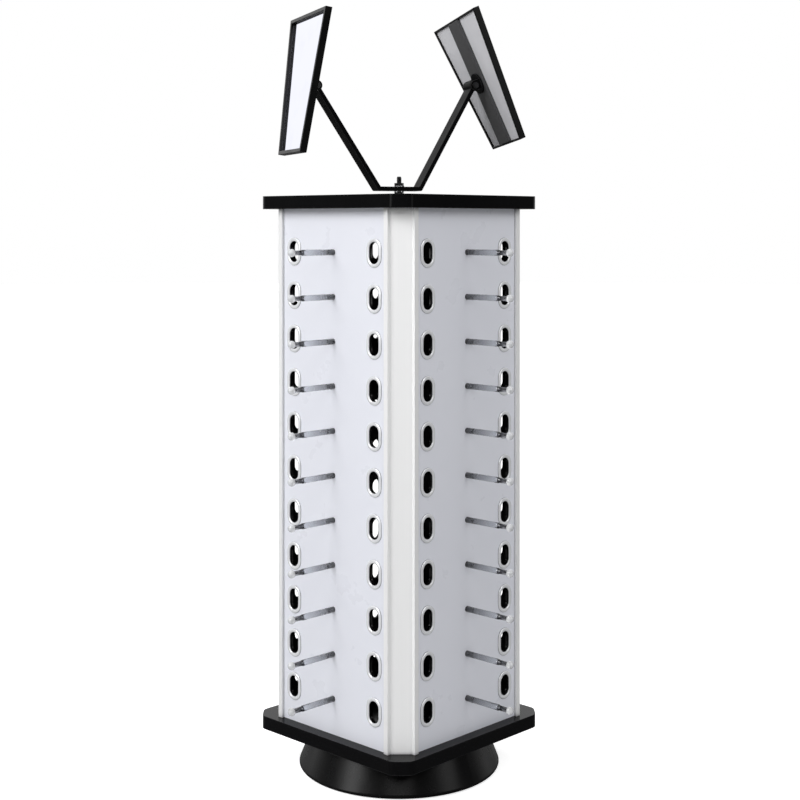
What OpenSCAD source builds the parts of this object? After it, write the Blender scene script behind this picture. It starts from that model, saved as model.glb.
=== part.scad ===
// Rotating countertop rack for spectacles: a round base, a four-sided tower with
// oval holes and pegs, and two mirrors on a bent bracket above it.
// Millimetres. Z is up, z = 0 is the table, and the tower faces look along X and Y.

/* [Tower] */
// Distance between the outer faces of opposite panels
tower_w = 212; // [200:1:225]
// Rows of pegs on each side
rows = 11; // [4:1:12]
// Height from one row to the next
row_pitch = 50; // [44:1:56]
// Distance between the two oval holes of a row
hole_gap = 130; // [110:1:136]
// Thickness of a panel
panel_t = 3; // [2:0.5:4]
// Width of the top and bottom plates
plate_w = 240; // [236:1:260]
// Thickness of the top and bottom plates
plate_t = 15; // [12:1:20]
// How far each plate corner is cut back along the edges
plate_cut = 15; // [6:1:20]
// Rounding where a plate's cut corner meets its sides
plate_round = 12; // [4:0.5:18]
// Width of the flat face on each corner post
post_face = 23.6; // [18:0.2:26]

/* [Holes and pegs] */
// Width of the clear opening in a grommet
opening_w = 14.5; // [12:0.5:16]
// Height of the clear opening in a grommet
opening_h = 24; // [20:0.5:26]
// How far a peg stands out from its panel
peg_len = 66.5; // [45:0.5:72]
// Radius of a peg's rod
peg_r = 3.3; // [2.8:0.1:3.6]

/* [Base] */
// Radius of the base at the table
base_r = 116.5; // [112:0.5:125]
// Height of the base's top deck
deck_z = 37.5; // [31:0.5:42]
// Balls in the turntable bearing
balls = 24; // [12:1:36]

/* [Mirrors] */
// Width of a mirror frame at its top
mirror_top_w = 128; // [80:1:134]
// Width of a mirror frame at its foot
mirror_foot_w = 82; // [70:1:120]
// Height of a mirror frame
mirror_h = 162; // [120:1:170]
// Direction of the right arm, seen from above
bracket_turn = 66; // [0:1:180]
// Distance from the tie rod to the corner of the right bend
bend_right = 23.5; // [20:0.5:32]
// Distance from the tie rod to the corner of the left bend
bend_left = 28; // [20:0.5:32]
// Length of the right arm from its bend to the tilt pin
arm_right = 142.2; // [130:0.1:150]
// Length of the left arm from its bend to the tilt pin
arm_left = 139.9; // [130:0.1:150]
// Steepness of the right arm
rise_right = 60.6; // [52:0.1:66]
// Steepness of the left arm
rise_left = 56.7; // [52:0.1:66]
// Lean of the right mirror's top towards the middle
tilt_right = 23; // [0:1:40]
// Turn of the right mirror in its own plane
roll_right = -6; // [-45:1:45]
// Lean of the left mirror's top towards the middle
tilt_left = 8; // [0:1:40]

/* [Show] */
// The sub-part to draw

/* [Hidden] */
$fn = 64;
fit_gap = 0.05;          // running clearance of every moving pin or ball
loose = 0.1;             // clearance of parts that only slot together
slip = 0.02;             // clearance of flat faces that turn on each other
tiny = 0.01;             // overlap that keeps joined shapes one solid
pad_t = 1.5;             // non-slip pad under the base
bearing_h = 6;           // room between the deck and the bottom plate
tower_z = deck_z + bearing_h + plate_t;
plate_z = deck_z + bearing_h;
tower_h = rows * row_pitch + 39;
top_z = tower_z + tower_h;
low_row = 40;            // lowest row of holes above the bottom plate
face_y = tower_w / 2;    // outer face of a panel
lip = 3.5;               // how far a post stands out past the panels
post_y = face_y + lip;
corner_y = post_y - 4;   // the flat corner face is set back between the two lips
post_edge = corner_y - post_face / sqrt(2);
slot_end = post_edge - 2.2;
lip_end = post_edge - 6;
inner_y = face_y - panel_t;
inner_lip = inner_y - loose - 1.6;
panel_w = 2 * (slot_end - 0.5);
web_sum = corner_y + post_edge - 8;
rim_h = 4;               // rim of a plate that reaches up inside the panels
ring_w = 4.1;            // width of a grommet's rim around its opening
ring_h = 1.6;
sleeve_out = 1.2;        // how far a sleeve stands out behind the panel
sleeve = 1.15;           // wall of a grommet's sleeve
cut_w = opening_w + 2 * sleeve + 2 * loose;
cut_h = opening_h + 2 * sleeve + 2 * loose;
screw_r = 1.5;           // peg and bearing screws are M3
knob_r = 4.4;            // knob and waist at a peg's outer end
knob_l = 6.5;
waist_r = peg_r - 0.6;
waist_l = 13;
rod_r = 3;               // the tie rod is M6
nut_r = 5.77;
nut_h = 5;
jam_h = 3.2;
washer_t = 1.2;
strip_t = 5;             // the bracket is bent from flat strip
strip_w = 19;
strip_z = top_z + plate_t + nut_h + washer_t;
rod_end = 17;            // how far the rod reaches above the underside of the bracket
eye_r = 6.5;             // rolled eye at the end of an arm
pin_r = 2.5;
pin_head_r = 3.8;
ear_r = 6;
ear_t = 2;
ear_y = strip_w / 2 + loose;
yoke_n = 7.5;            // distances from the tilt pin towards the mirror start here
yoke_r = 12.6;
yoke_t = 2;
spine_n = yoke_n + yoke_t + 0.2;
spine_t = 1.6;
spine_w = 28;
spine_h = 4;
rivet_r = 3;
rivet_head_r = 5.5;
frame_n = spine_n + 1.8;
frame_t = 8;
rail_w = 2.5;
front_lip = 1.8;         // how far the frame's front reaches over the glass
back_n = spine_n + spine_h;
back_t = 0.8;
glass_t = 1.5;
foot_arc = 3.5;          // rounding of the base's lower edge
foot_x = base_r - foot_arc;
foot_z = 1 + foot_arc;
flank_lean = 22;         // the base's flank leans in by this angle
skin = 3;                // wall of the base shell
ball_r = 2;
ball_z = deck_z + bearing_h / 2;
track_r = 60;
race_in = 50;
race_out = 70;
race_t = 1.8;
race_screw_r = 66.5;
foot_screw_r = 84;
weight_r = 110;
weight_t = 5;

// ---- placing helpers ----

module side(quarter) {
  rotate([0, 0, 90 * quarter]) children();
}

module outward() {
  rotate([90, 0, 0]) children();
}

module at_rows() {
  for (row = [0 : rows - 1])
    translate([0, 0, tower_z + low_row + row * row_pitch]) children();
}

module at_holes() {
  at_rows()
    for (hand = [-1, 1])
      translate([hand * hole_gap / 2, 0, 0]) children();
}

module around(count, radius) {
  for (k = [0 : count - 1])
    rotate([0, 0, 360 / count * (k + 0.5)]) translate([radius, 0, 0]) children();
}

module at_right_eye() {
  rotate([0, 0, bracket_turn])
    translate([bend_right, 0, strip_z + strip_t / 2])
      rotate([0, -rise_right, 0]) translate([arm_right, 0, 0]) rotate([0, rise_right, 0]) children();
}

module at_left_eye() {
  rotate([0, 0, bracket_turn + 180])
    translate([bend_left, 0, strip_z + strip_t / 2])
      rotate([0, -rise_left, 0]) translate([arm_left, 0, 0]) rotate([0, rise_left, 0]) children();
}

// ---- outlines ----

module oval(w, h) {
  translate([-w / 2, -(h - w) / 2]) square([w, h - w]);
  for (end = [-1, 1])
    translate([0, end * (h - w) / 2]) circle(d = w);
}

module cut_square(half, cut) {
  polygon([
    [half - cut, half], [half, half - cut], [half, cut - half], [half - cut, -half],
    [cut - half, -half], [-half, cut - half], [-half, half - cut], [cut - half, half]
  ]);
}

function quarter_turned(p, q) = q == 0 ? p : quarter_turned([-p[1], p[0]], q - 1);

module soft_square(half, cut, r) {
  // a square with cut corners, rounded where each cut meets a side
  run = r * tan(22.5);
  slant = run / sqrt(2);
  low = half - cut;
  tangents = [[half, low - run], [half - slant, low + slant], [low + slant, half - slant], [low - run, half]];
  polygon([for (q = [0 : 3]) for (p = tangents) quarter_turned(p, q)]);
  for (q = [0 : 3])
    rotate(90 * q) {
      translate([half - r, low - run]) circle(r = r);
      translate([low - run, half - r]) circle(r = r);
    }
}

module mirror_outline(margin) {
  // wider at the top than at the foot, drawn in by a margin all round
  slope = (mirror_top_w - mirror_foot_w) / (2 * mirror_h);
  half_h = mirror_h / 2 - margin;
  middle = (mirror_top_w + mirror_foot_w) / 4 - margin * sqrt(1 + slope * slope);
  top = middle + slope * half_h;
  foot = middle - slope * half_h;
  polygon([[top, half_h], [-top, half_h], [-foot, -half_h], [foot, -half_h]]);
}

module ring(outer, inner, h) {
  difference() {
    cylinder(r = outer, h = h);
    translate([0, 0, -1]) cylinder(r = inner, h = h + 2);
  }
}

module hex_nut(h) {
  difference() {
    cylinder(r = nut_r, h = h, $fn = 6);
    translate([0, 0, -1]) cylinder(r = rod_r + fit_gap, h = h + 2);
  }
}

module flat_screw(length) {
  // countersunk head at z = 0, shank downwards
  translate([0, 0, -1.4]) cylinder(r1 = screw_r, r2 = 2.75, h = 1.4);
  translate([0, 0, -length]) cylinder(r = screw_r, h = length - 1.4 + tiny);
}

module flat_screw_cut(length) {
  translate([0, 0, -1.45]) cylinder(r1 = screw_r + fit_gap, r2 = 2.85, h = 1.46);
  translate([0, 0, -length - 1]) cylinder(r = screw_r + fit_gap, h = length + 1);
}

// ---- base ----

module base_pad() {
  color([0.08, 0.08, 0.08]) cylinder(r = weight_r - 4, h = pad_t);
}

module weight_screw() {
  cylinder(r1 = 4, r2 = 2, h = 2);
  translate([0, 0, 2 - tiny]) cylinder(r = 2, h = 12);
}

module base_weight() {
  color([0.45, 0.45, 0.47]) difference() {
    translate([0, 0, pad_t]) cylinder(r = weight_r, h = weight_t);
    around(4, foot_screw_r) {
      translate([0, 0, pad_t - tiny]) cylinder(r1 = 4.1, r2 = 2.05, h = 2.05);
      cylinder(r = 2 + fit_gap, h = 10);
    }
  }
}

module weight_screws() {
  color([0.7, 0.7, 0.72]) around(4, foot_screw_r) translate([0, 0, pad_t]) weight_screw();
}

module shell_outline(arc, top) {
  // half of the base's section: a flat deck, a leaning flank and a rounded lower edge
  edge = 1.5;
  start_x = foot_x + arc * cos(flank_lean);
  start_z = foot_z + arc * sin(flank_lean);
  end_x = start_x - (top - edge - start_z) * tan(flank_lean);
  translate([foot_x, foot_z]) circle(r = arc);
  polygon([[0, 1], [foot_x, 1], [start_x, start_z], [end_x, top - edge], [end_x - edge, top], [0, top]]);
}

module base_shell() {
  color([0.04, 0.04, 0.045]) difference() {
    union() {
      difference() {
        rotate_extrude() shell_outline(foot_arc, deck_z);
        translate([0, 0, -tiny]) rotate_extrude() shell_outline(foot_arc - skin, deck_z - skin);
      }
      around(4, foot_screw_r)
        translate([0, 0, pad_t + weight_t]) cylinder(r = 5, h = deck_z - skin - pad_t - weight_t + 0.5);
    }
    around(4, foot_screw_r) cylinder(r = 2 + fit_gap, h = pad_t + 15);
    around(4, race_screw_r) translate([0, 0, deck_z - skin - 1])
      cylinder(r = screw_r + fit_gap, h = skin + 2);
  }
}

// ---- turntable bearing ----

module track() {
  rotate_extrude() translate([track_r, 0]) circle(r = ball_r + fit_gap);
}

module race_lower() {
  color([0.72, 0.73, 0.75]) difference() {
    translate([0, 0, deck_z]) ring(race_out, race_in, race_t);
    translate([0, 0, ball_z]) track();
    around(4, race_screw_r) translate([0, 0, deck_z + race_t]) flat_screw_cut(6);
  }
}

module race_screws_lower() {
  color([0.7, 0.7, 0.72]) around(4, race_screw_r) translate([0, 0, deck_z + race_t]) flat_screw(6);
}

module race_upper() {
  color([0.72, 0.73, 0.75]) difference() {
    translate([0, 0, plate_z - race_t]) ring(race_out, race_in, race_t);
    translate([0, 0, ball_z]) track();
    around(4, race_screw_r) translate([0, 0, plate_z - race_t]) mirror([0, 0, 1]) flat_screw_cut(6);
  }
}

module race_screws_upper() {
  color([0.7, 0.7, 0.72]) around(4, race_screw_r)
    translate([0, 0, plate_z - race_t]) mirror([0, 0, 1]) flat_screw(6);
}

module ball_cage() {
  color([0.85, 0.85, 0.8]) difference() {
    translate([0, 0, ball_z - 0.7]) ring(track_r + 4.5, track_r - 4.5, 1.4);
    around(balls, track_r) translate([0, 0, ball_z - 2]) cylinder(r = ball_r + fit_gap, h = 4);
  }
}

module bearing_balls() {
  color([0.8, 0.8, 0.82]) around(balls, track_r) translate([0, 0, ball_z]) sphere(r = ball_r);
}

// ---- plates ----

module plate_body() {
  // a tray with a floor and a rim that the panels stand against
  inner = inner_lip - 0.2;
  corner = 2 * inner - web_sum + 1;
  difference() {
    union() {
      linear_extrude(plate_t) soft_square(plate_w / 2, plate_cut, plate_round);
      translate([0, 0, plate_t - tiny]) linear_extrude(rim_h) cut_square(inner, corner);
    }
    translate([0, 0, 5]) linear_extrude(plate_t) cut_square(inner - 3, corner);
    translate([0, 0, -1]) cylinder(r = rod_r + loose, h = plate_t + 2);
  }
}

module bottom_plate() {
  color([0.03, 0.03, 0.035]) translate([0, 0, plate_z]) difference() {
    plate_body();
    around(4, race_screw_r) translate([0, 0, -1]) cylinder(r = screw_r + fit_gap, h = 7);
  }
}

module top_plate() {
  color([0.03, 0.03, 0.035]) translate([0, 0, top_z + plate_t]) mirror([0, 0, 1]) plate_body();
}

// ---- tower ----

module post_outline() {
  // flat corner face set back between two lips, and a slot behind each lip for a panel's edge
  web = web_sum - inner_lip;
  polygon([
    [lip_end, post_y], [post_edge, post_y], [post_edge, corner_y],
    [corner_y, post_edge], [post_y, post_edge], [post_y, lip_end],
    [face_y + loose, lip_end], [face_y + loose, slot_end], [inner_y - loose, slot_end],
    [inner_y - loose, lip_end], [inner_lip, lip_end], [inner_lip, web],
    [web, inner_lip], [lip_end, inner_lip], [lip_end, inner_y - loose],
    [slot_end, inner_y - loose], [slot_end, face_y + loose], [lip_end, face_y + loose]
  ]);
}

module post() {
  color([0.86, 0.87, 0.88]) translate([0, 0, tower_z]) linear_extrude(tower_h) rotate(-90) post_outline();
}

module panel() {
  color([0.93, 0.93, 0.95]) difference() {
    translate([-panel_w / 2, -face_y, tower_z]) cube([panel_w, panel_t, tower_h]);
    at_holes() translate([0, 1 - inner_y, 0]) outward() linear_extrude(panel_t + 2) oval(cut_w, cut_h);
    at_rows() translate([0, 1 - inner_y, 0]) outward() cylinder(r = screw_r + loose, h = panel_t + 2);
  }
}

module grommet() {
  // rim on the outer face of the panel, sleeve through it
  difference() {
    union() {
      linear_extrude(ring_h) oval(opening_w + 2 * ring_w, opening_h + 2 * ring_w);
      translate([0, 0, -panel_t - sleeve_out]) linear_extrude(panel_t + sleeve_out + 0.1)
        oval(opening_w + 2 * sleeve, opening_h + 2 * sleeve);
    }
    translate([0, 0, -panel_t - 2]) linear_extrude(panel_t + 5) oval(opening_w, opening_h);
  }
}

module grommets() {
  color([0.8, 0.81, 0.83]) at_holes() translate([0, -face_y, 0]) outward() grommet();
}

module peg_outline() {
  // a plain rod, a long waist that takes the bridge of the eyeglasses, and a round knob
  knob = peg_len - knob_l;
  waist = knob - waist_l;
  square([peg_r, waist]);
  translate([0, waist - tiny]) square([waist_r, waist_l + 1]);
  intersection() {
    translate([0, peg_len - knob_r]) circle(r = knob_r);
    translate([0, knob]) square([knob_r + 1, knob_l + 1]);
  }
}

module peg() {
  difference() {
    rotate_extrude() peg_outline();
    translate([0, 0, -1]) cylinder(r = screw_r + fit_gap, h = 12);
  }
}

module pegs() {
  color([0.85, 0.88, 0.9, 0.5]) at_rows() translate([0, -face_y, 0]) outward() peg();
}

module peg_screw() {
  translate([0, 0, -panel_t - 2]) cylinder(r = 2.8, h = 2);
  translate([0, 0, -panel_t - tiny]) cylinder(r = screw_r, h = panel_t + 10);
}

module peg_screws() {
  color([0.7, 0.7, 0.72]) at_rows() translate([0, -face_y, 0]) outward() peg_screw();
}

module tie_rod() {
  color([0.12, 0.12, 0.125]) translate([0, 0, plate_z - nut_h - 0.4])
    cylinder(r = rod_r, h = strip_z + rod_end - plate_z + nut_h + 0.4);
}

module rod_nuts() {
  color([0.12, 0.12, 0.125]) {
    translate([0, 0, plate_z - nut_h]) hex_nut(nut_h);
    translate([0, 0, top_z + plate_t]) hex_nut(nut_h);
    translate([0, 0, strip_z + strip_t + washer_t]) hex_nut(jam_h);
  }
}

module rod_washers() {
  color([0.65, 0.65, 0.67]) {
    translate([0, 0, strip_z - washer_t]) ring(6, rod_r + fit_gap, washer_t - slip);
    translate([0, 0, strip_z + strip_t + slip]) ring(6, rod_r + fit_gap, washer_t - slip);
  }
}

// ---- mirrors ----

module arm(bend, long, rise) {
  // a straight arm from the bend to the rolled eye
  outward() linear_extrude(strip_w, center = true) translate([bend, strip_z + strip_t / 2]) {
    circle(d = strip_t);
    rotate(rise) {
      translate([0, -strip_t / 2]) square([long, strip_t]);
      translate([long, 0]) circle(r = eye_r);
    }
  }
}

module eye_hole() {
  outward() cylinder(r = pin_r + fit_gap, h = strip_w + 2, center = true);
}

module mirror_bracket() {
  color([0.05, 0.05, 0.055]) difference() {
    rotate([0, 0, bracket_turn]) {
      translate([-bend_left, -strip_w / 2, strip_z]) cube([bend_left + bend_right, strip_w, strip_t]);
      arm(bend_right, arm_right, rise_right);
      rotate([0, 0, 180]) arm(bend_left, arm_left, rise_left);
    }
    translate([0, 0, strip_z - 1]) cylinder(r = rod_r + fit_gap, h = strip_t + 2);
    at_right_eye() eye_hole();
    at_left_eye() eye_hole();
  }
}

module yoke() {
  // a round plate against the mirror's spine, with an ear on each side of the rolled eye
  color([0.06, 0.06, 0.065]) difference() {
    union() {
      translate([yoke_n, 0, 0]) rotate([0, 90, 0]) cylinder(r = yoke_r, h = yoke_t);
      for (hand = [-1, 1])
        translate([0, hand * (ear_y + ear_t / 2), 0]) outward() linear_extrude(ear_t, center = true) {
          circle(r = ear_r);
          translate([0, -ear_r]) square([yoke_n + 0.5, 2 * ear_r]);
        }
    }
    outward() cylinder(r = pin_r, h = strip_w + 3 * ear_t, center = true);
    translate([yoke_n - 1, 0, 0]) rotate([0, 90, 0]) cylinder(r = rivet_r, h = yoke_t + 2);
  }
}

module tilt_pin() {
  head_y = ear_y + ear_t;
  color([0.1, 0.1, 0.105]) {
    outward() cylinder(r = pin_r, h = 2 * head_y + 1, center = true);
    for (hand = [-1, 1])
      translate([0, hand * (head_y + 0.5), 0]) outward() cylinder(r = pin_head_r, h = 1, center = true);
  }
}

module swivel_rivet() {
  color([0.7, 0.7, 0.72]) rotate([0, 90, 0]) {
    translate([0, 0, yoke_n]) cylinder(r = rivet_r, h = yoke_t + 0.2 + spine_t + 0.2 + tiny);
    translate([0, 0, spine_n + spine_t + 0.2]) cylinder(r = rivet_head_r, h = 1.4);
  }
}

module spine() {
  long = mirror_h - 2 * rail_w - 0.4;
  color([0.2, 0.2, 0.22]) difference() {
    translate([spine_n, -spine_w / 2, -long / 2]) cube([spine_h, spine_w, long]);
    translate([spine_n + spine_t, -spine_w / 2 + spine_t, -mirror_h])
      cube([spine_h, spine_w - 2 * spine_t, 2 * mirror_h]);
    translate([spine_n - 1, 0, 0]) rotate([0, 90, 0]) cylinder(r = rivet_r + fit_gap, h = spine_t + 2);
  }
}

module slab(from, thick, margin) {
  translate([from, 0, 0]) rotate([90, 0, 90]) linear_extrude(thick) mirror_outline(margin);
}

module back() {
  color([0.75, 0.75, 0.77]) slab(back_n, back_t, rail_w + 0.2);
}

module glass() {
  color([0.85, 0.87, 0.9]) slab(back_n + back_t, glass_t, rail_w + 0.2);
}

module frame() {
  front_n = back_n + back_t + glass_t;
  color([0.03, 0.03, 0.03]) difference() {
    slab(frame_n, frame_t, 0);
    slab(frame_n - 1, front_n - frame_n + 1, rail_w);
    slab(frame_n, frame_t + 1, rail_w + front_lip);
  }
}

module right_yoke() {
  at_right_eye() rotate([0, -tilt_right, 0]) children();
}

module right_mirror() {
  right_yoke() rotate([roll_right, 0, 0]) children();
}

module left_mirror() {
  at_left_eye() rotate([0, -tilt_left, 0]) children();
}

// ---- the assembly ----

base_pad();
base_weight();
weight_screws();
base_shell();
race_lower();
race_screws_lower();
ball_cage();
bearing_balls();
race_upper();
race_screws_upper();
bottom_plate();
top_plate();
side(0) post();  // post_se
side(1) post();  // post_ne
side(2) post();  // post_nw
side(3) post();  // post_sw
side(0) panel();  // panel_south
side(1) panel();  // panel_east
side(2) panel();  // panel_north
side(3) panel();  // panel_west
side(0) grommets();  // grommets_south
side(1) grommets();  // grommets_east
side(2) grommets();  // grommets_north
side(3) grommets();  // grommets_west
side(0) pegs();  // pegs_south
side(1) pegs();  // pegs_east
side(2) pegs();  // pegs_north
side(3) pegs();  // pegs_west
side(0) peg_screws();  // peg_screws_south
side(1) peg_screws();  // peg_screws_east
side(2) peg_screws();  // peg_screws_north
side(3) peg_screws();  // peg_screws_west
tie_rod();
rod_nuts();
rod_washers();
mirror_bracket();
right_yoke() yoke();  // yoke_right
right_yoke() tilt_pin();  // tilt_pin_right
right_yoke() swivel_rivet();  // swivel_rivet_right
right_mirror() frame();  // frame_right
right_mirror() glass();  // glass_right
right_mirror() back();  // back_right
right_mirror() spine();  // spine_right
left_mirror() yoke();  // yoke_left
left_mirror() tilt_pin();  // tilt_pin_left
left_mirror() swivel_rivet();  // swivel_rivet_left
left_mirror() frame();  // frame_left
left_mirror() glass();  // glass_left
left_mirror() back();  // back_left
left_mirror() spine();  // spine_left
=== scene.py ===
import math

import bpy
from mathutils import Matrix, Vector


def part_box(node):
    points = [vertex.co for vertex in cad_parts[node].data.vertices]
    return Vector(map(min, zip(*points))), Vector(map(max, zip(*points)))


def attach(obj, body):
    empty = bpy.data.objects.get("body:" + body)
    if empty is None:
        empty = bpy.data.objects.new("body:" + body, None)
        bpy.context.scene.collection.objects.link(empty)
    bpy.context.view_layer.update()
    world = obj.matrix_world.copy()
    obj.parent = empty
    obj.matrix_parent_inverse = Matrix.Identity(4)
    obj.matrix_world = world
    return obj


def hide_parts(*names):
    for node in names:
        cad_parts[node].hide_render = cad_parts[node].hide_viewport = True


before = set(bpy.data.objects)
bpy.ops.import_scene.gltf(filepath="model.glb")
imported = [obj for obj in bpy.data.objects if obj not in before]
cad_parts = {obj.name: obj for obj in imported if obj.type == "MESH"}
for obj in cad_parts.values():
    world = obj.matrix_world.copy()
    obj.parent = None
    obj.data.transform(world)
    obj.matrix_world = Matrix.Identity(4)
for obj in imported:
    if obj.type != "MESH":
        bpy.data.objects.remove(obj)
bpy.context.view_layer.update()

MM = 0.001
SIDES = ["south", "east", "north", "west"]
POSTS = ["post_se", "post_ne", "post_nw", "post_sw"]
HANDS = ["right", "left"]
ROWS = 11
# a grommet: half its rim's width and height, the rim's width, its sleeve's wall and depth
RIM_HALF_WIDTH, RIM_HALF_HEIGHT = 11.35 * MM, 16.1 * MM
RIM_WIDTH = 4.1 * MM
SLEEVE_WALL, SLEEVE_DEPTH = 1.15 * MM, 4.2 * MM
# a peg: its rod's radius, the waist before its knob, and the knob
PEG_RADIUS = 3.3 * MM
PEG_WAIST = 13 * MM
PEG_WAIST_RADIUS = PEG_RADIUS - 0.6 * MM
PEG_KNOB = 6.5 * MM
PEG_KNOB_RADIUS = 4.4 * MM
# the M6 rod's thread
ROD_RADIUS, THREAD_PITCH, THREAD_DEPTH = 3 * MM, 1 * MM, 0.62 * MM
# the camera: its height, distance, lens and the lens's shift down and across
CAMERA_HEIGHT, CAMERA_DISTANCE = 0.6295, 1.7
LENS, SENSOR = 65.25, 36
SHIFT_DOWN, SHIFT_ACROSS = -0.2193, 0.0011


# ---------------------------------------------------------------- node helpers

def add(tree, kind, inputs=None, **settings):
    """A new shader node; an input value that is a socket gets linked."""
    node = tree.nodes.new(kind)
    for key, value in settings.items():
        setattr(node, key, value)
    for key, value in (inputs or {}).items():
        if isinstance(value, bpy.types.NodeSocket):
            tree.links.new(value, node.inputs[key])
        else:
            node.inputs[key].default_value = value
    return node


def calc(tree, operation, a, b=0.0):
    """One step of arithmetic on sockets or numbers."""
    return add(tree, "ShaderNodeMath", {0: a, 1: b}, operation=operation).outputs[0]


def remap(tree, value, low, high, to_low, to_high):
    """Moves a value from one range to another and clamps it there."""
    node = add(tree, "ShaderNodeMapRange", {
        "Value": value, "From Min": low, "From Max": high, "To Min": to_low, "To Max": to_high})
    return node.outputs[0]


def blend_colour(tree, factor, first, second):
    """A mix of two colours."""
    node = add(tree, "ShaderNodeMix", data_type="RGBA")
    for key, value in ((0, factor), (6, first), (7, second)):
        if isinstance(value, bpy.types.NodeSocket):
            tree.links.new(value, node.inputs[key])
        else:
            node.inputs[key].default_value = value
    return node.outputs[2]


def place(tree, stretch=(1, 1, 1)):
    """Coordinates that stay on the part when it moves, in metres, stretched along an axis."""
    where = add(tree, "ShaderNodeTexCoord").outputs["Object"]
    return add(tree, "ShaderNodeMapping", {"Vector": where, "Scale": stretch}).outputs[0]


def noise(tree, vector, scale, detail=3.0, roughness=0.55):
    """Soft noise between 0 and 1, with a scale in cycles per metre."""
    return add(tree, "ShaderNodeTexNoise", {
        "Vector": vector, "Scale": scale, "Detail": detail, "Roughness": roughness}).outputs[0]


def panel_reach(tree):
    """Distance from the tower's axis, measured square to the panels."""
    split = add(tree, "ShaderNodeSeparateXYZ", {0: add(tree, "ShaderNodeTexCoord").outputs["Object"]})
    across = [calc(tree, "ABSOLUTE", split.outputs[axis]) for axis in (0, 1)]
    return calc(tree, "MAXIMUM", across[0], across[1])


def edge_mask(tree, radius):
    """1 along sharp edges and 0 on flats, from how far a rounded normal leans away."""
    soft = add(tree, "ShaderNodeBevel", {"Radius": radius}, samples=4).outputs[0]
    hard = add(tree, "ShaderNodeNewGeometry").outputs["Normal"]
    turned = add(tree, "ShaderNodeVectorMath", {0: soft, 1: hard}, operation="DOT_PRODUCT").outputs["Value"]
    return remap(tree, turned, 0.99, 0.8, 0.0, 1.0)


def painted_corner_shade(tree, reach, low, high):
    """High on open faces and low in narrow corners, where painted shade darkens the colour."""
    open_sky = add(tree, "ShaderNodeAmbientOcclusion", {"Distance": reach}, samples=8, only_local=False)
    return remap(tree, open_sky.outputs["AO"], 0.25, 0.85, low, high)


def surface(name, colour, **values):
    """A material with its Principled node set, ready for detail."""
    made = bpy.data.materials.new(name)
    made.use_nodes = True
    tree = made.node_tree
    shader = tree.nodes["Principled BSDF"]
    shader.inputs["Base Color"].default_value = (*colour, 1)
    for key, value in values.items():
        shader.inputs[key.replace("_", " ")].default_value = value
    return made, tree, shader


def relief(tree, shader, height, depth, strength=1.0, edge=0.0):
    """Bumps the surface by a texture's height, over edges rounded by a radius."""
    inputs = {"Height": height, "Distance": depth, "Strength": strength}
    if edge:
        inputs["Normal"] = add(tree, "ShaderNodeBevel", {"Radius": edge}, samples=4).outputs[0]
    node = add(tree, "ShaderNodeBump", inputs)
    tree.links.new(node.outputs[0], shader.inputs["Normal"])


def vary_roughness(tree, shader, grain, low, high):
    """Roughness that follows a texture between two values."""
    tree.links.new(remap(tree, grain, 0.3, 0.7, low, high), shader.inputs["Roughness"])


# ---------------------------------------------------------------- materials

def black_plastic(name, tone, low, high, peel, shine, edge_wear_and_highlight=0.0):
    """Moulded black plastic: faint mottling, orange peel, fine dust and paler edges, partly rubbed and
    partly a painted highlight.

    Its roughness varies from low to high, and shine is its specular level.
    """
    made, tree, shader = surface(name, (tone, tone, tone * 1.12), Specular_IOR_Level=shine)
    at = place(tree)
    broad = noise(tree, at, 14, 4)
    dust = remap(tree, noise(tree, at, 1400, 2, 0.7), 0.64, 0.78, 0.0, 1.0)
    dark = (tone * 0.8, tone * 0.8, tone * 0.9, 1)
    pale = (tone * 1.5, tone * 1.5, tone * 1.65, 1)
    colour = blend_colour(tree, broad, dark, pale)
    colour = blend_colour(tree, calc(tree, "MULTIPLY", dust, 0.03), colour, (0.3, 0.3, 0.3, 1))
    if edge_wear_and_highlight:
        # paler edges: partly rubbing on the edges, partly a painted highlight line along them
        worn_and_highlit_edge = calc(tree, "MULTIPLY", edge_mask(tree, 1.2 * MM), noise(tree, at, 60, 3))
        colour = blend_colour(tree, calc(tree, "MULTIPLY", worn_and_highlit_edge, edge_wear_and_highlight), colour, (0.25, 0.25, 0.26, 1))
    tree.links.new(colour, shader.inputs["Base Color"])
    vary_roughness(tree, shader, noise(tree, at, 35, 4), low, high)
    relief(tree, shader, noise(tree, at, 420, 2), peel, 0.35)
    return made


def white_panel():
    """Semi-gloss white sheet whose inner face is painted near-black as painted shade for the tower's inside,
    with faint waviness and handling marks.
    """
    made, tree, shader = surface("white_panel", (0.86, 0.87, 0.91), Specular_IOR_Level=0.45)
    at = place(tree)
    reach = panel_reach(tree)
    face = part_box("panel_east")[1].x
    outside = calc(tree, "GREATER_THAN", reach, face - 0.4 * MM)
    cloud = remap(tree, noise(tree, at, 6, 3), 0.3, 0.7, 0.0, 1.0)
    white = blend_colour(tree, cloud, (0.84, 0.855, 0.925, 1), (0.86, 0.875, 0.94, 1))
    marks = remap(tree, noise(tree, place(tree, (1, 1, 0.2)), 90, 6, 0.75), 0.6, 0.9, 0.0, 0.12)
    white = blend_colour(tree, marks, white, (0.74, 0.74, 0.77, 1))
    # painted shade: the inner face is near-black, standing for the dark inside of the tower
    colour = blend_colour(tree, outside, (0.01, 0.01, 0.011, 1), white)
    tree.links.new(colour, shader.inputs["Base Color"])
    vary_roughness(tree, shader, noise(tree, at, 22, 4), 0.26, 0.36)
    relief(tree, shader, noise(tree, at, 260, 2), 0.02 * MM, 0.3)
    return made


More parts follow.
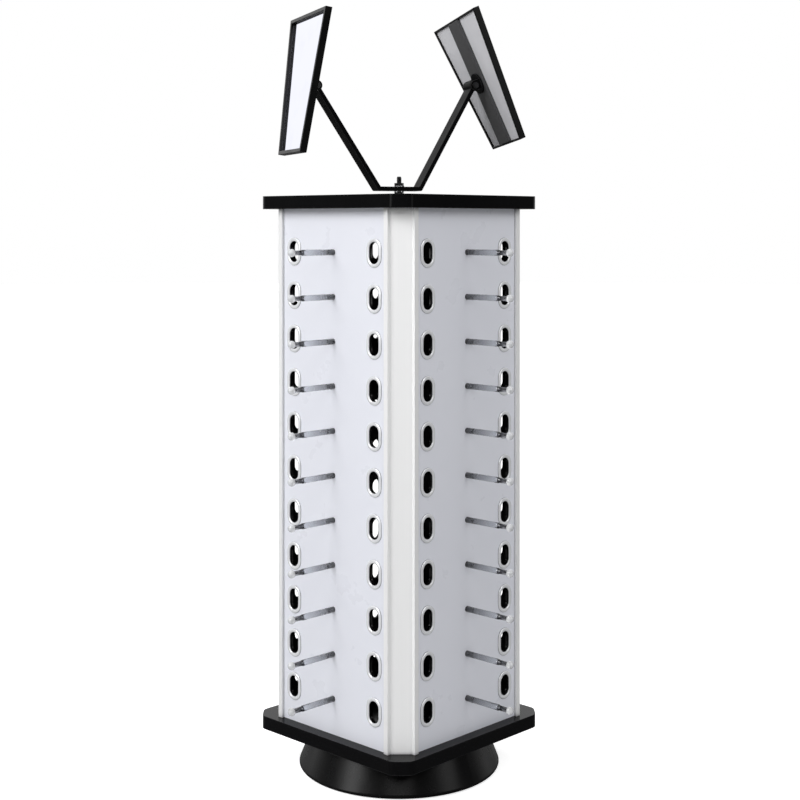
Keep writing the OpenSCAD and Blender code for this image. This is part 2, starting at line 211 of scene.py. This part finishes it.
def anodised():
    """Pale anodised extrusion: streaks along its length, a soft metallic sheen and painted shade in its
    narrow corners.
    """
    made, tree, shader = surface("anodised", (0.95, 0.95, 0.95), Metallic=0.12, Roughness=0.4)
    streak = noise(tree, place(tree, (1, 1, 0.004)), 1500, 3, 0.6)
    colour = blend_colour(tree, streak, (0.92, 0.925, 0.93, 1), (0.985, 0.985, 0.985, 1))
    # painted shade: dark grey in the narrow corners and notches
    colour = blend_colour(tree, painted_corner_shade(tree, 5 * MM, 0.0, 1.0), (0.22, 0.22, 0.235, 1), colour)
    tree.links.new(colour, shader.inputs["Base Color"])
    vary_roughness(tree, shader, streak, 0.34, 0.46)
    relief(tree, shader, streak, 0.02 * MM, 0.25, edge=0.3 * MM)
    return made


def bright_metal(name, tone, low, high, stretch=(1, 1, 1), edge=0.0, pits=0.01 * MM, metal=1.0):
    """Plated or polished metal with fine grain, roughness that varies in soft clouds, and tiny pits."""
    made, tree, shader = surface(name, (tone, tone, tone), Metallic=metal)
    at = place(tree, stretch)
    grain = noise(tree, at, 700, 3, 0.6)
    colour = blend_colour(tree, noise(tree, at, 45, 4), (tone * 0.86, tone * 0.87, tone * 0.9, 1),
                          (tone, tone * 1.01, tone * 1.03, 1))
    tree.links.new(colour, shader.inputs["Base Color"])
    vary_roughness(tree, shader, noise(tree, at, 120, 4), low, high)
    relief(tree, shader, grain, pits, 0.4, edge)
    return made


def plated_rim():
    """Bright plated plastic on the grommets' rims, with painted shade at their foot and down their sleeves.
    """
    made = bright_metal("plated_rim", 0.97, 0.1, 0.24, metal=0.25)
    tree = made.node_tree
    shader = tree.nodes["Principled BSDF"]
    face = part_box("panel_east")[1].x
    inside = remap(tree, panel_reach(tree), face, face + 0.9 * MM, 1.0, 0.0)
    bright = shader.inputs["Base Color"].links[0].from_socket
    # painted shade: near-black blended in at the rim's foot and down the sleeve
    tree.links.new(blend_colour(tree, inside, bright, (0.01, 0.01, 0.011, 1)), shader.inputs["Base Color"])
    return made


def clear_acrylic():
    """Clear acrylic with painted shade towards its foot and in its waist, bright in its knob, with a faint
    shadow.
    """
    made, tree, shader = surface("clear_acrylic", (0.93, 0.945, 0.96), IOR=1.49)
    at = place(tree)
    reach = panel_reach(tree)
    low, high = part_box("pegs_south")
    foot, waist, knob = -high.y, -low.y - PEG_KNOB - PEG_WAIST, -low.y - PEG_KNOB
    # painted shade: the rod darkens towards its foot, times a faint random cloud
    along = calc(tree, "POWER", remap(tree, reach, foot, waist, 0.0, 1.0), 0.9)
    foot_shade_and_cloud = calc(tree, "MULTIPLY", along, remap(tree, noise(tree, at, 60, 3), 0.3, 0.7, 0.94, 1.0))
    tint = blend_colour(tree, foot_shade_and_cloud, (0.06, 0.06, 0.065, 1), (0.72, 0.74, 0.78, 1))
    # painted shade: the waist is blended to near-black
    painted_waist_shade = calc(tree, "MULTIPLY", remap(tree, reach, waist - MM, waist, 0.0, 1.0),
                    remap(tree, reach, waist + 2 * MM, knob, 1.0, 0.75))
    tint = blend_colour(tree, painted_waist_shade, tint, (0.05, 0.05, 0.06, 1))
    tint = blend_colour(tree, remap(tree, reach, knob, knob + MM, 0.0, 1.0), tint, (0.96, 0.97, 0.98, 1))
    tree.links.new(tint, shader.inputs["Base Color"])
    clear = remap(tree, reach, knob, knob + MM, 1.0, 0.5)
    tree.links.new(clear, shader.inputs["Transmission Weight"])
    frost = remap(tree, reach, foot, knob, 0.34, 0.06)
    rough = calc(tree, "MULTIPLY", frost, remap(tree, noise(tree, at, 150, 3), 0.3, 0.7, 0.7, 1.2))
    tree.links.new(rough, shader.inputs["Roughness"])
    relief(tree, shader, noise(tree, at, 500, 2), 0.01 * MM, 0.3)
    through = add(tree, "ShaderNodeBsdfTransparent")
    shadow = calc(tree, "MULTIPLY", add(tree, "ShaderNodeLightPath").outputs["Is Shadow Ray"], 0.8)
    mixed = add(tree, "ShaderNodeMixShader", {0: shadow, 1: shader.outputs[0], 2: through.outputs[0]})
    tree.links.new(mixed.outputs[0], tree.nodes["Material Output"].inputs["Surface"])
    return made


def mirror_silver():
    """Silvered glass with faint finger marks."""
    made, tree, shader = surface("mirror_silver", (0.81, 0.82, 0.92), Metallic=1.0)
    at = place(tree)
    smudge = remap(tree, noise(tree, at, 40, 5, 0.65), 0.5, 0.8, 0.0, 1.0)
    tree.links.new(blend_colour(tree, smudge, (0.81, 0.82, 0.92, 1), (0.76, 0.77, 0.86, 1)),
                   shader.inputs["Base Color"])
    tree.links.new(remap(tree, smudge, 0.0, 1.0, 0.008, 0.05), shader.inputs["Roughness"])
    relief(tree, shader, noise(tree, at, 5, 1), 0.02 * MM, 0.1)
    return made


def grey_sheet(name, tone, low, high, grain_scale, depth):
    """Plain grey sheet with a fine leathery grain."""
    made, tree, shader = surface(name, (tone, tone, tone * 1.03))
    at = place(tree)
    cells = add(tree, "ShaderNodeTexVoronoi", {"Vector": at, "Scale": grain_scale}).outputs["Distance"]
    colour = blend_colour(tree, noise(tree, at, 25, 4), (tone * 0.9, tone * 0.9, tone * 0.94, 1),
                          (tone * 1.08, tone * 1.08, tone * 1.12, 1))
    tree.links.new(colour, shader.inputs["Base Color"])
    vary_roughness(tree, shader, noise(tree, at, 80, 3), low, high)
    relief(tree, shader, cells, depth, 0.4)
    return made


def rubber():
    """Black rubber with a matt, gritty face."""
    made, tree, shader = surface("rubber", (0.03, 0.03, 0.03), Specular_IOR_Level=0.3)
    at = place(tree)
    tree.links.new(blend_colour(tree, noise(tree, at, 60, 4), (0.02, 0.02, 0.02, 1), (0.05, 0.05, 0.048, 1)),
                   shader.inputs["Base Color"])
    vary_roughness(tree, shader, noise(tree, at, 200, 3), 0.7, 0.9)
    relief(tree, shader, noise(tree, at, 1500, 2), 0.1 * MM, 0.5)
    return made


def paint(names, material):
    """Gives CAD nodes a material in place of the one they came with."""
    for name in names:
        for place_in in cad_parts[name].material_slots:
            place_in.material = material


def soften(names, width, segments=2):
    """Rounds the edges of CAD nodes with modifiers; their meshes stay as they are."""
    for name in names:
        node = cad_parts[name]
        weld = node.modifiers.new("weld", "WELD")
        weld.merge_threshold = 0.01 * MM
        bevel = node.modifiers.new("edges", "BEVEL")
        bevel.width = width
        bevel.segments = segments
        bevel.limit_method = "ANGLE"
        bevel.angle_limit = math.radians(35)
        bevel.harden_normals = True
        node.modifiers.new("shading", "WEIGHTED_NORMAL").keep_sharp = True


# ---------------------------------------------------------------- new pieces

def mesh_piece(name, points, faces, material, body):
    """A smooth-shaded piece that rides on a body."""
    mesh = bpy.data.meshes.new(name)
    mesh.from_pydata(points, [], faces)
    mesh.validate()
    mesh.update()
    for face in mesh.polygons:
        face.use_smooth = True
    made = bpy.data.objects.new(name, mesh)
    bpy.context.scene.collection.objects.link(made)
    made.data.materials.append(material)
    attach(made, body)
    return made


def circle_points(radius, z, segments):
    """Points round a level circle on the tower's axis."""
    turns = [2 * math.pi * k / segments for k in range(segments)]
    return [(radius * math.cos(turn), radius * math.sin(turn), z) for turn in turns]


def loop_faces(start, rings, size, closed_rings, closed_size=True):
    """Quads over a grid of rings that each have the same number of points."""
    faces = []
    for ring in range(rings if closed_rings else rings - 1):
        following = (ring + 1) % rings
        for k in range(size if closed_size else size - 1):
            nearby = (k + 1) % size
            faces.append((start + ring * size + k, start + ring * size + nearby,
                          start + following * size + nearby, start + following * size + k))
    return faces


def oval_path(half_width, half_height, steps=12):
    """Points round an upright oval, for a shape swept along it."""
    rise = half_height - half_width
    path = []
    for centre, first in ((rise, 0.0), (-rise, math.pi)):
        for k in range(steps + 1):
            angle = first + math.pi * k / steps
            path.append((half_width * math.cos(angle), centre + half_width * math.sin(angle)))
    return path


def grommet_profile(rim, sleeve, depth):
    """Offsets from the opening's edge, and heights above the panel, once round the section."""
    profile = [(0.0, -depth), (0.0, 0.3 * MM)]
    for k in range(1, 10):
        angle = math.pi * (1 - k / 10)
        profile.append((rim / 2 * (1 + math.cos(angle)), 0.3 * MM + 1.25 * MM * math.sin(angle) ** 0.8))
    profile += [(rim, 0.3 * MM), (rim, 0.0), (sleeve, 0.0), (sleeve, -depth)]
    return profile


def side_matrix(quarter):
    """Turns a shape drawn for the -Y face to the face of that number."""
    return Matrix.Rotation(math.pi / 2 * quarter, 4, "Z")


def hole_centres():
    """Across and up positions of the oval holes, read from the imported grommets."""
    low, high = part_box("grommets_south")
    first = low.z + RIM_HALF_HEIGHT
    pitch = (high.z - low.z - 2 * RIM_HALF_HEIGHT) / (ROWS - 1)
    across = (high.x - low.x) / 2 - RIM_HALF_WIDTH
    return [(hand * across, first + row * pitch) for row in range(ROWS) for hand in (-1, 1)]


def build_grommets(material):
    """Rounded plated rims with a sleeve through the panel, one mesh for each side."""
    inner_w, inner_h = RIM_HALF_WIDTH - RIM_WIDTH, RIM_HALF_HEIGHT - RIM_WIDTH
    face = -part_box("panel_south")[0].y
    profile = grommet_profile(RIM_WIDTH, SLEEVE_WALL, SLEEVE_DEPTH)
    for quarter, side in enumerate(SIDES):
        turn = side_matrix(quarter)
        points, faces = [], []
        for across, up in hole_centres():
            start = len(points)
            for offset, height in profile:
                ring = oval_path(inner_w + offset, inner_h + offset)
                points += [turn @ Vector((across + x, -face - height, up + z)) for x, z in ring]
            faces += loop_faces(start, len(profile), len(ring), True)
        made = mesh_piece("grommet_rims_" + side, points, faces, material, "tower")
        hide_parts("grommets_" + side)


def peg_profile(length):
    """Radius and distance from the panel along a peg: rod, waist and round knob."""
    neck = length - PEG_KNOB
    waist = neck - PEG_WAIST
    profile = [(0.0, 0.0), (PEG_RADIUS, 0.0)]
    profile += [(PEG_RADIUS, (waist - 0.5 * MM) * k / 6) for k in range(1, 7)]
    profile += [(PEG_RADIUS - 0.2 * MM, waist), (PEG_WAIST_RADIUS, waist + 0.5 * MM),
                (PEG_WAIST_RADIUS, neck - 0.3 * MM)]
    centre = length - PEG_KNOB_RADIUS
    begin = math.acos((neck + 0.1 * MM - centre) / PEG_KNOB_RADIUS)
    steps = 12
    for k in range(steps + 1):
        angle = begin * (1 - k / steps)
        profile.append((PEG_KNOB_RADIUS * math.sin(angle), centre + PEG_KNOB_RADIUS * math.cos(angle)))
    return profile


def build_pegs(material):
    """Turned pegs that stand out from the panels between the holes, one mesh for each side."""
    low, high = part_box("pegs_south")
    face = -high.y
    length = high.y - low.y
    profile = peg_profile(length)
    segments = 28
    rows = [up for _, up in hole_centres()[::2]]
    for quarter, side in enumerate(SIDES):
        turn = side_matrix(quarter)
        points, faces = [], []
        for up in rows:
            start = len(points)
            for radius, out in profile:
                for k in range(segments):
                    angle = 2 * math.pi * k / segments
                    points.append(turn @ Vector((radius * math.cos(angle), -face - out,
                                                 up + radius * math.sin(angle))))
            faces += loop_faces(start, len(profile), segments, False)
        made = mesh_piece("display_pegs_" + side, points, faces, material, "tower")
        weld = made.modifiers.new("weld", "WELD")
        weld.merge_threshold = 0.01 * MM
        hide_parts("pegs_" + side)


def build_rod(material):
    """The M6 rod, plain inside the tower and threaded where it shows above the top plate."""
    low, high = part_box("tie_rod")
    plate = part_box("top_plate")[1].z
    segments = 24
    heights = [low.z, low.z + 1 * MM, plate - 2 * MM]
    z = plate - 1 * MM
    while z < high.z - 1.2 * MM:
        heights.append(z)
        z += THREAD_PITCH / 8
    points = []
    for z in heights:
        cut = 0.0 if z < plate - 1.5 * MM else THREAD_DEPTH
        for k in range(segments):
            phase = (z / THREAD_PITCH - k / segments) % 1.0
            r = ROD_RADIUS - cut * abs(2 * phase - 1)
            angle = 2 * math.pi * k / segments
            points.append((r * math.cos(angle), r * math.sin(angle), z))
    for r, z in ((ROD_RADIUS - 0.5 * MM, high.z - 0.8 * MM), (ROD_RADIUS - 1.0 * MM, high.z)):
        points += circle_points(r, z, segments)
    rings = len(heights) + 2
    faces = loop_faces(0, rings, segments, False)
    faces.append(tuple(range(segments))[::-1])
    faces.append(tuple(range((rings - 1) * segments, rings * segments)))
    made = mesh_piece("threaded_rod", points, faces, material, "tower")
    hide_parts("tie_rod")


# ---------------------------------------------------------------- setting

def floor_material():
    """Pale floor, lifted to white where the camera sees it and kept dim for what it lights."""
    made, tree, shader = surface("pale_floor", (0.9, 0.9, 0.9), Roughness=0.6, Specular_IOR_Level=0.2)
    at = add(tree, "ShaderNodeTexCoord").outputs["Object"]
    colour = blend_colour(tree, noise(tree, at, 3, 4), (0.9, 0.9, 0.905, 1), (0.93, 0.93, 0.93, 1))
    rays = add(tree, "ShaderNodeLightPath")
    dim = calc(tree, "ADD", calc(tree, "MULTIPLY", rays.outputs["Is Glossy Ray"], 0.8),
               calc(tree, "MULTIPLY", rays.outputs["Is Diffuse Ray"], 0.55))
    tree.links.new(blend_colour(tree, dim, colour, (0.0, 0.0, 0.0, 1)), shader.inputs["Base Color"])
    shader.inputs["Emission Color"].default_value = (1, 1, 1, 1)
    lift = calc(tree, "MULTIPLY", rays.outputs["Is Camera Ray"], 0.7)
    tree.links.new(lift, shader.inputs["Emission Strength"])
    return made


def build_floor():
    """A wide disc under the rack."""
    rings, segments = 14, 64
    points = [(0.0, 0.0, 0.0)]
    for ring in range(1, rings + 1):
        points += circle_points(14 * (ring / rings) ** 3, 0.0, segments)
    faces = [(0, 1 + k, 1 + (k + 1) % segments) for k in range(segments)]
    faces += loop_faces(1, rings, segments, False)
    mesh = bpy.data.meshes.new("floor")
    mesh.from_pydata(points, [], faces)
    floor = bpy.data.objects.new("floor", mesh)
    bpy.context.scene.collection.objects.link(floor)
    floor.data.materials.append(floor_material())


VIEW_TURN = math.radians(44.1)
TOWARDS_CAMERA = Vector((math.sin(VIEW_TURN), -math.cos(VIEW_TURN), 0))
TO_THE_RIGHT = Vector((math.cos(VIEW_TURN), math.sin(VIEW_TURN), 0))


def bank(tree, flat_way, turn, strength):
    """A tall bank of light at a bearing from the camera's side, seen only in reflections."""
    heading = TOWARDS_CAMERA * math.cos(turn) + TO_THE_RIGHT * math.sin(turn)
    towards = add(tree, "ShaderNodeVectorMath", {0: flat_way, 1: tuple(heading)}, operation="DOT_PRODUCT")
    edge, core = math.cos(math.radians(13)), math.cos(math.radians(5))
    return remap(tree, towards.outputs["Value"], edge, core, 0.0, strength)


def build_world():
    """White behind the rack, dark towards the camera, and a gentle fill for matt surfaces."""
    world = bpy.data.worlds.new("studio")
    bpy.context.scene.world = world
    world.use_nodes = True
    tree = world.node_tree
    tree.nodes.clear()
    way = add(tree, "ShaderNodeTexCoord").outputs["Generated"]
    back = add(tree, "ShaderNodeVectorMath", {0: way, 1: tuple(-TOWARDS_CAMERA)}, operation="DOT_PRODUCT")
    right = add(tree, "ShaderNodeVectorMath", {0: way, 1: tuple(TO_THE_RIGHT)}, operation="DOT_PRODUCT")
    rise = add(tree, "ShaderNodeSeparateXYZ", {0: way}).outputs[2]
    flat = add(tree, "ShaderNodeVectorMath", {0: way, 1: (1, 1, 0)}, operation="MULTIPLY")
    flat = add(tree, "ShaderNodeVectorMath", {0: flat.outputs[0]}, operation="NORMALIZE").outputs[0]
    shine = calc(tree, "ADD", remap(tree, back.outputs["Value"], 0.05, 0.75, 0.01, 1.0),
                 remap(tree, right.outputs["Value"], -1.0, 0.0, 0.16, 0.04))
    above = calc(tree, "MULTIPLY", remap(tree, rise, 0.2, 0.9, 0.0, 0.5),
                 remap(tree, back.outputs["Value"], -0.8, 0.2, 0.0, 1.0))
    banks = calc(tree, "ADD", bank(tree, flat, -1.0, 3.2), bank(tree, flat, 1.05, 1.1))
    banks = calc(tree, "MULTIPLY", banks, remap(tree, rise, 0.95, 0.7, 0.0, 1.0))
    shine = calc(tree, "ADD", calc(tree, "ADD", shine, above), banks)
    rays = add(tree, "ShaderNodeLightPath")
    matt = rays.outputs["Is Diffuse Ray"]
    seen = rays.outputs["Is Camera Ray"]
    level = calc(tree, "ADD", calc(tree, "MULTIPLY", matt, 0.34),
                 calc(tree, "MULTIPLY", calc(tree, "SUBTRACT", 1.0, matt), shine))
    level = calc(tree, "ADD", seen, calc(tree, "MULTIPLY", calc(tree, "SUBTRACT", 1.0, seen), level))
    shader = add(tree, "ShaderNodeBackground", {"Color": (1, 1, 1, 1), "Strength": level})
    end = add(tree, "ShaderNodeOutputWorld")
    tree.links.new(shader.outputs[0], end.inputs["Surface"])


def softbox(name, right, front, up, side, power):
    """A soft square lamp placed relative to the camera's view and aimed at the tower's middle."""
    lamp = bpy.data.lights.new(name, "AREA")
    lamp.shape = "RECTANGLE"
    lamp.size, lamp.size_y, lamp.energy = side, side, power
    holder = bpy.data.objects.new(name, lamp)
    bpy.context.scene.collection.objects.link(holder)
    holder.location = TO_THE_RIGHT * right + TOWARDS_CAMERA * front + Vector((0, 0, up))
    aim = Vector((0, 0, 0.4)) - holder.location
    holder.rotation_euler = aim.to_track_quat("-Z", "Y").to_euler()


def build_lights():
    """A key from the left, a weaker fill from the right, one in front and one above."""
    softbox("key", right=-1.7, front=1.3, up=1.7, side=1.2, power=30.5)
    softbox("fill", right=1.7, front=1.3, up=1.7, side=1.0, power=9.3)
    softbox("front", right=0.0, front=2.1, up=1.6, side=1.2, power=12)
    softbox("top", right=0.0, front=-0.4, up=2.6, side=1.6, power=8)


def build_camera():
    """A level camera whose lens is shifted down, as in a product shot with upright verticals."""
    data = bpy.data.cameras.new("camera")
    camera = bpy.data.objects.new("camera", data)
    bpy.context.scene.collection.objects.link(camera)
    bpy.context.scene.camera = camera
    camera.location = TOWARDS_CAMERA * CAMERA_DISTANCE + Vector((0, 0, CAMERA_HEIGHT))
    camera.rotation_euler = (math.pi / 2, 0, VIEW_TURN)
    data.sensor_width, data.lens = SENSOR, LENS
    data.shift_x = SHIFT_ACROSS
    data.clip_start, data.clip_end = 0.05, 60
    shift_with_height(camera)


def shift_with_height(camera):
    """The lens shift holds only at the shot's own height, so other viewpoints are centred."""
    curve = camera.data.driver_add("shift_y")
    curve.driver.type = "AVERAGE"
    source = curve.driver.variables.new()
    source.type = "TRANSFORMS"
    source.targets[0].id = camera
    source.targets[0].transform_type = "LOC_Z"
    source.targets[0].transform_space = "WORLD_SPACE"
    for old in list(curve.modifiers):
        curve.modifiers.remove(old)
    reach = 0.02
    for offset, value in ((-reach, 0.0), (0.0, SHIFT_DOWN), (reach, 0.0)):
        key = curve.keyframe_points.insert(CAMERA_HEIGHT + offset, value)
        key.interpolation = "LINEAR"
    curve.extrapolation = "CONSTANT"


def dress():
    """Gives every CAD node its material and builds the pieces that stand for CAD nodes."""
    gloss = black_plastic("black_gloss", 0.003, low=0.12, high=0.2, peel=0.02 * MM, shine=0.08, edge_wear_and_highlight=0.3)
    satin = black_plastic("black_satin", 0.0015, low=0.22, high=0.3, peel=0.03 * MM, shine=0.26)
    enamel = black_plastic("black_enamel", 0.0025, low=0.3, high=0.42, peel=0.03 * MM, shine=0.03,
                           edge_wear_and_highlight=0.3)
    trim = black_plastic("black_trim", 0.002, low=0.25, high=0.38, peel=0.01 * MM, shine=0.17)
    zinc = bright_metal("zinc", 0.62, low=0.18, high=0.32, edge=0.2 * MM)
    blackened = bright_metal("blackened_steel", 0.06, low=0.22, high=0.4, edge=0.2 * MM)
    steel = bright_metal("steel", 0.5, low=0.25, high=0.4, stretch=(1, 1, 0.2))
    chrome = bright_metal("chrome", 0.86, low=0.05, high=0.14, metal=0.7)
    sheet = grey_sheet("grey_back", 0.74, low=0.35, high=0.5, grain_scale=900, depth=0.03 * MM)
    channel = grey_sheet("grey_spine", 0.055, low=0.35, high=0.5, grain_scale=700, depth=0.03 * MM)
    nylon = grey_sheet("cage_nylon", 0.6, low=0.4, high=0.6, grain_scale=400, depth=0.02 * MM)
    paint(["bottom_plate", "top_plate"], gloss)
    paint(["base_shell"], satin)
    paint(["mirror_bracket"] + ["yoke_" + hand for hand in HANDS], enamel)
    paint(["frame_" + hand for hand in HANDS], trim)
    paint(["panel_" + side for side in SIDES], white_panel())
    paint(POSTS, anodised())
    paint(["glass_" + hand for hand in HANDS], mirror_silver())
    paint(["back_" + hand for hand in HANDS], sheet)
    paint(["spine_" + hand for hand in HANDS], channel)
    paint(["base_pad"], rubber())
    paint(["ball_cage"], nylon)
    paint(["base_weight", "race_lower", "race_upper"], steel)
    paint(["bearing_balls"], chrome)
    paint(["rod_nuts"] + ["tilt_pin_" + hand for hand in HANDS], blackened)
    paint(["rod_washers", "weight_screws", "race_screws_lower", "race_screws_upper"]
          + ["peg_screws_" + side for side in SIDES] + ["swivel_rivet_" + hand for hand in HANDS], zinc)
    soften(["bottom_plate", "top_plate"], 0.6 * MM, 3)
    soften(["frame_" + hand for hand in HANDS] + ["mirror_bracket"], 0.5 * MM)
    soften(["spine_" + hand for hand in HANDS] + ["yoke_" + hand for hand in HANDS], 0.3 * MM)
    build_grommets(plated_rim())
    build_pegs(clear_acrylic())
    build_rod(blackened)


dress()
build_floor()
build_world()
build_lights()
build_camera()
bpy.context.scene.view_settings.view_transform = "Standard"
